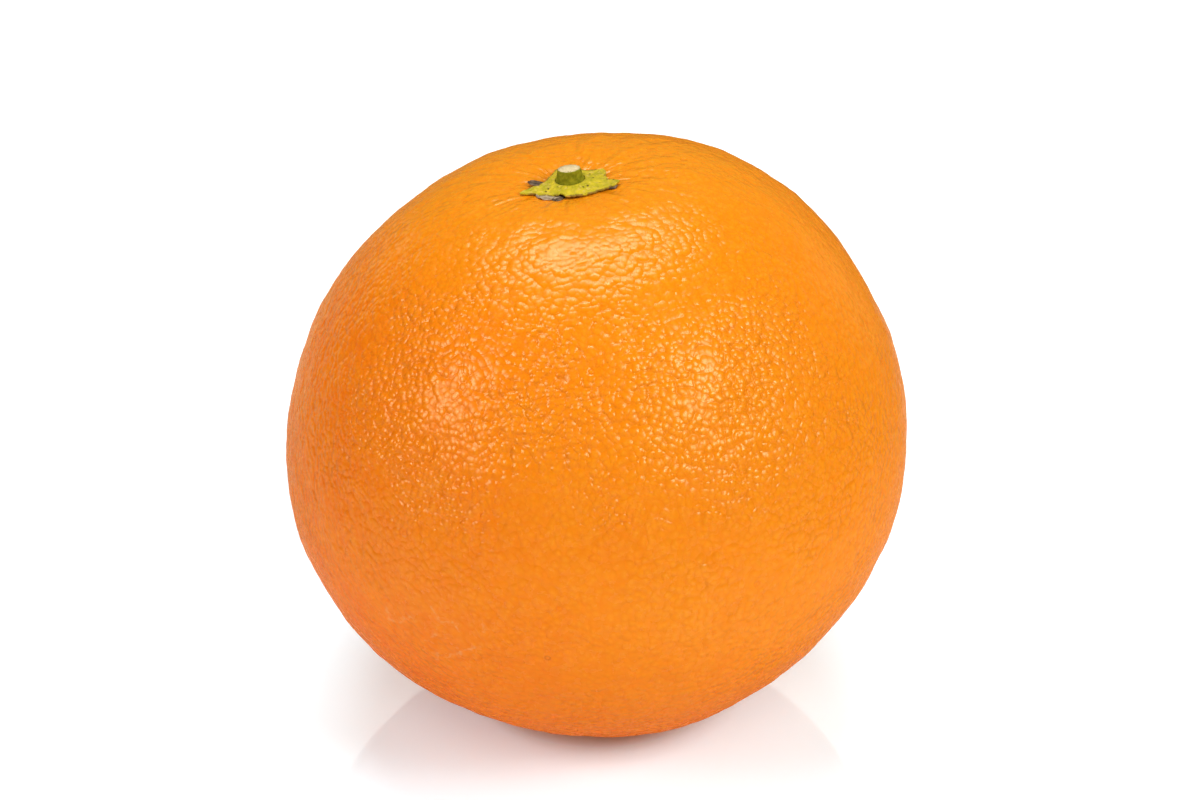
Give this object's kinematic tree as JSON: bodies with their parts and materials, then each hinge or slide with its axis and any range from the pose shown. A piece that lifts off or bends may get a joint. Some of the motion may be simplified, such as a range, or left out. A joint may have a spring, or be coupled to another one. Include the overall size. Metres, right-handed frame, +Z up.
{
  "type": "orange",
  "caption": "Whole round orange with a pebbled peel, a shallow stem hollow, a green star-shaped calyx and a short cut stub of stem, resting on a small flat spot.",
  "frame": {"origin": "on the flat spot that the fruit rests on, straight below the middle of the fruit", "axes": "+Z up; the stem axis leans 5.5 degrees from +Z towards -X; the front of the view is -Y"},
  "size_m": [0.08, 0.0808, 0.0759],
  "materials": {
    "peel": "satin",
    "calyx": "matte",
    "stem": "satin"
  },
  "bodies": {
    "root": {"fruit": "peel", "calyx": "calyx", "stem": "stem"}
  },
  "joints": []
}
